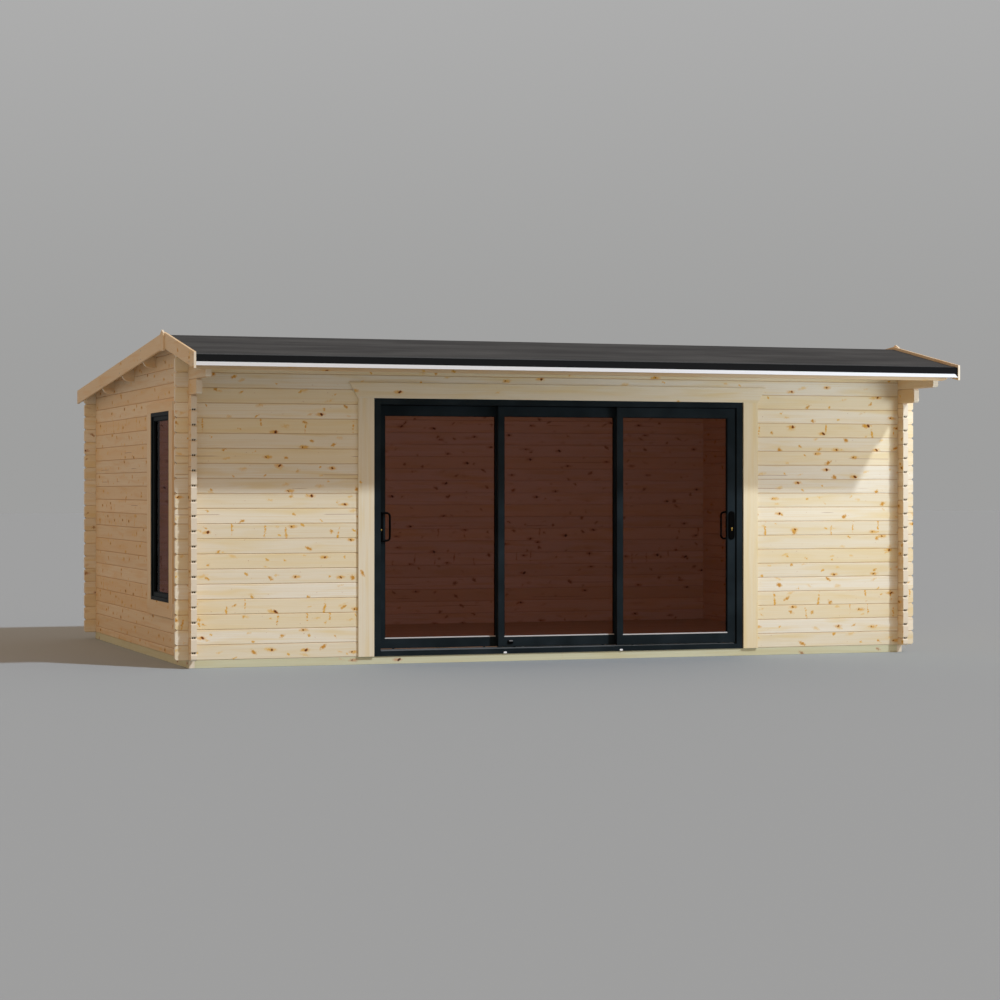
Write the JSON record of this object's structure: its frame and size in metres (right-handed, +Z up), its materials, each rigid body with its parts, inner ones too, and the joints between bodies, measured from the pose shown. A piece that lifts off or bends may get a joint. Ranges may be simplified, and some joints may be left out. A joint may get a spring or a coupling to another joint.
{
  "type": "log cabin",
  "caption": "Pale timber log cabin with crossed log corners, a low gable roof with a front canopy, a wide glazed sliding door and a tall side window.",
  "frame": {"origin": "on the ground, in the middle of the roof's plan", "axes": "+X to the right and +Y to the back for someone facing the door, +Z up"},
  "size_m": [6.2668, 5.05, 2.5624],
  "materials": {
    "pine_log": "planed, untreated pale softwood",
    "pine_board": "planed, untreated pale softwood",
    "treated_timber": "sawn, greenish treated softwood",
    "floor_board": "planed softwood boards",
    "roof_membrane": "matt dark grey sheet",
    "black_trim": "satin black",
    "white_strip": "satin white",
    "anthracite_metal": "fine matt powder coat",
    "tinted_glass": "clear double glazing, slightly tinted",
    "black_furniture": "satin black"
  },
  "bodies": {
    "cabin": {"side_bearers": "treated_timber", "cross_bearers": "treated_timber", "floor_joists": "treated_timber", "floor": "floor_board", "front_wall_left": "pine_log", "front_wall_right": "pine_log", "front_wall_over_door": "pine_log", "back_wall": "pine_log", "left_wall": "pine_log", "right_wall": "pine_log", "ridge_purlin": "pine_board", "back_purlins": "pine_board", "eave_purlin": "pine_board", "roof_boards_front": "pine_board", "roof_boards_back": "pine_board", "roof_membrane_front": "roof_membrane", "roof_membrane_back": "roof_membrane", "eave_fascias": "pine_board", "eave_trims": "black_trim", "eave_strips": "white_strip", "front_bargeboards": "pine_board", "back_bargeboards": "pine_board", "ridge_plates": "pine_board", "door_casing_sides": "pine_board", "door_casing_head": "pine_board", "door_jambs": "anthracite_metal", "door_head": "anthracite_metal", "door_sill": "anthracite_metal", "window_frame": "anthracite_metal", "window_sash": "anthracite_metal", "window_glass": "tinted_glass", "window_casing_sides": "pine_board", "window_casing_ends": "pine_board"},
    "left_leaf": {"left_leaf_frame": "anthracite_metal", "left_leaf_glass": "tinted_glass", "left_leaf_handle": "black_furniture"},
    "middle_leaf": {"middle_leaf_frame": "anthracite_metal", "middle_leaf_glass": "tinted_glass", "middle_leaf_bolt": "black_furniture"},
    "right_leaf": {"right_leaf_frame": "anthracite_metal", "right_leaf_glass": "tinted_glass", "right_leaf_handle": "black_furniture"}
  },
  "joints": [
    {"name": "left_leaf_slide", "type": "slide", "parent": "cabin", "child": "left_leaf", "axis": [1, 0, 0], "range_m": [0, 1.956]},
    {"name": "middle_leaf_slide", "type": "slide", "parent": "cabin", "child": "middle_leaf", "axis": [1, 0, 0], "range_m": [-0.978, 0.978]},
    {"name": "right_leaf_slide", "type": "slide", "parent": "cabin", "child": "right_leaf", "axis": [1, 0, 0], "range_m": [-1.956, 0]}
  ]
}
